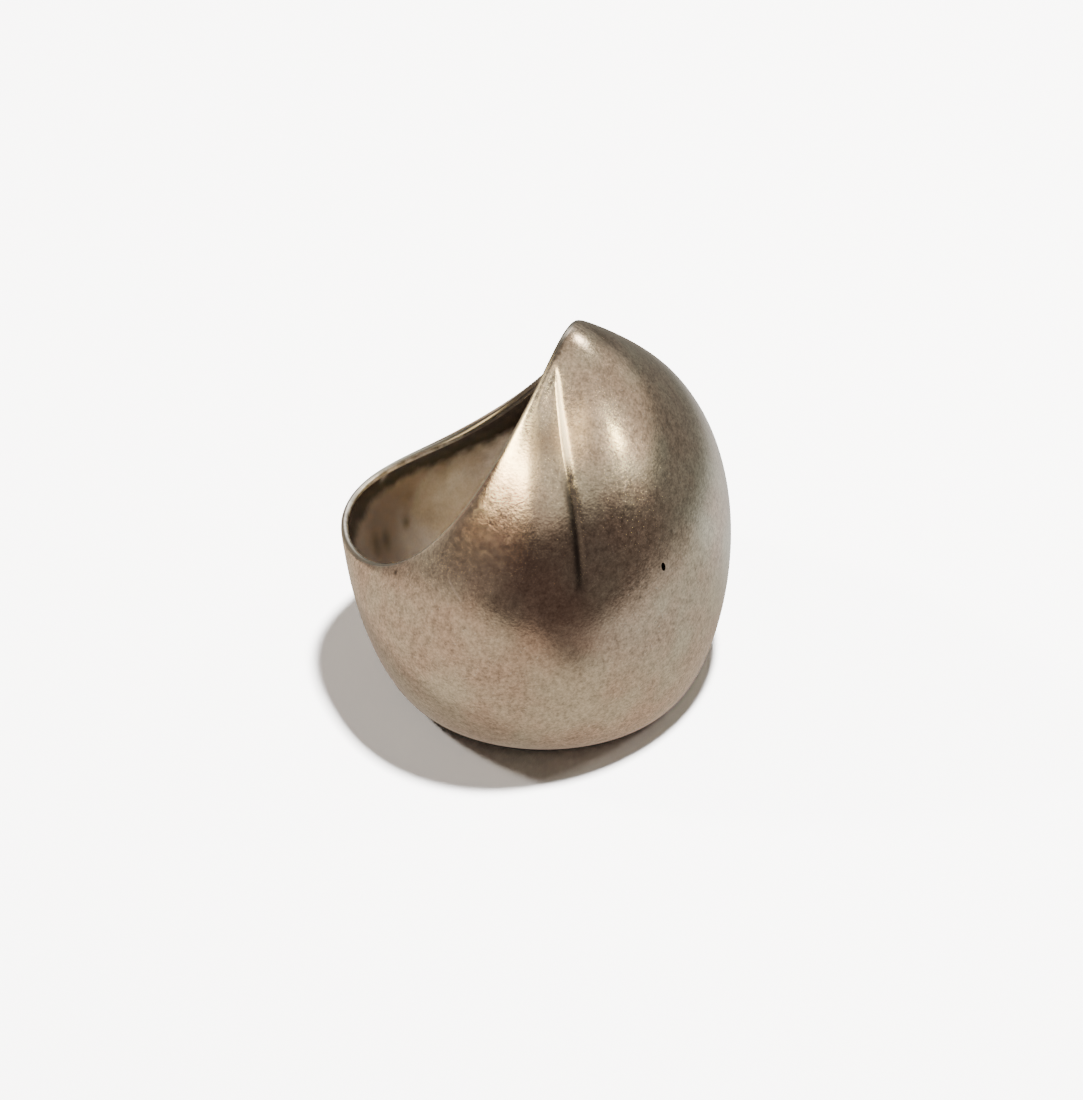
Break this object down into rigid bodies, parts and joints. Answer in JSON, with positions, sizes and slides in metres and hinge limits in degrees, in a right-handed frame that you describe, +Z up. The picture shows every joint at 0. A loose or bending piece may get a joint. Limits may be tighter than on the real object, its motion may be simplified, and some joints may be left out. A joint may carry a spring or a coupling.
{
  "type": "silver dome ring",
  "caption": "Hollow dome finger ring in one piece of sheet silver, with a narrow shank, a wide front that rises to a point, and one crease.",
  "frame": {"origin": "centre of the lower finger opening, where the finger axis meets the surface that the ring lies on", "axes": "+Z up from the surface that the flat lower rim lies on; +X towards the wide front, -X towards the shank; the finger axis leans 18 degrees from +Z towards -X; the crease is on the -Y side"},
  "size_m": [0.0247, 0.0283, 0.027],
  "materials": {
    "silver": "worn satin silver, lightly tarnished"
  },
  "bodies": {
    "root": {"ring_shell": "silver"}
  },
  "joints": []
}
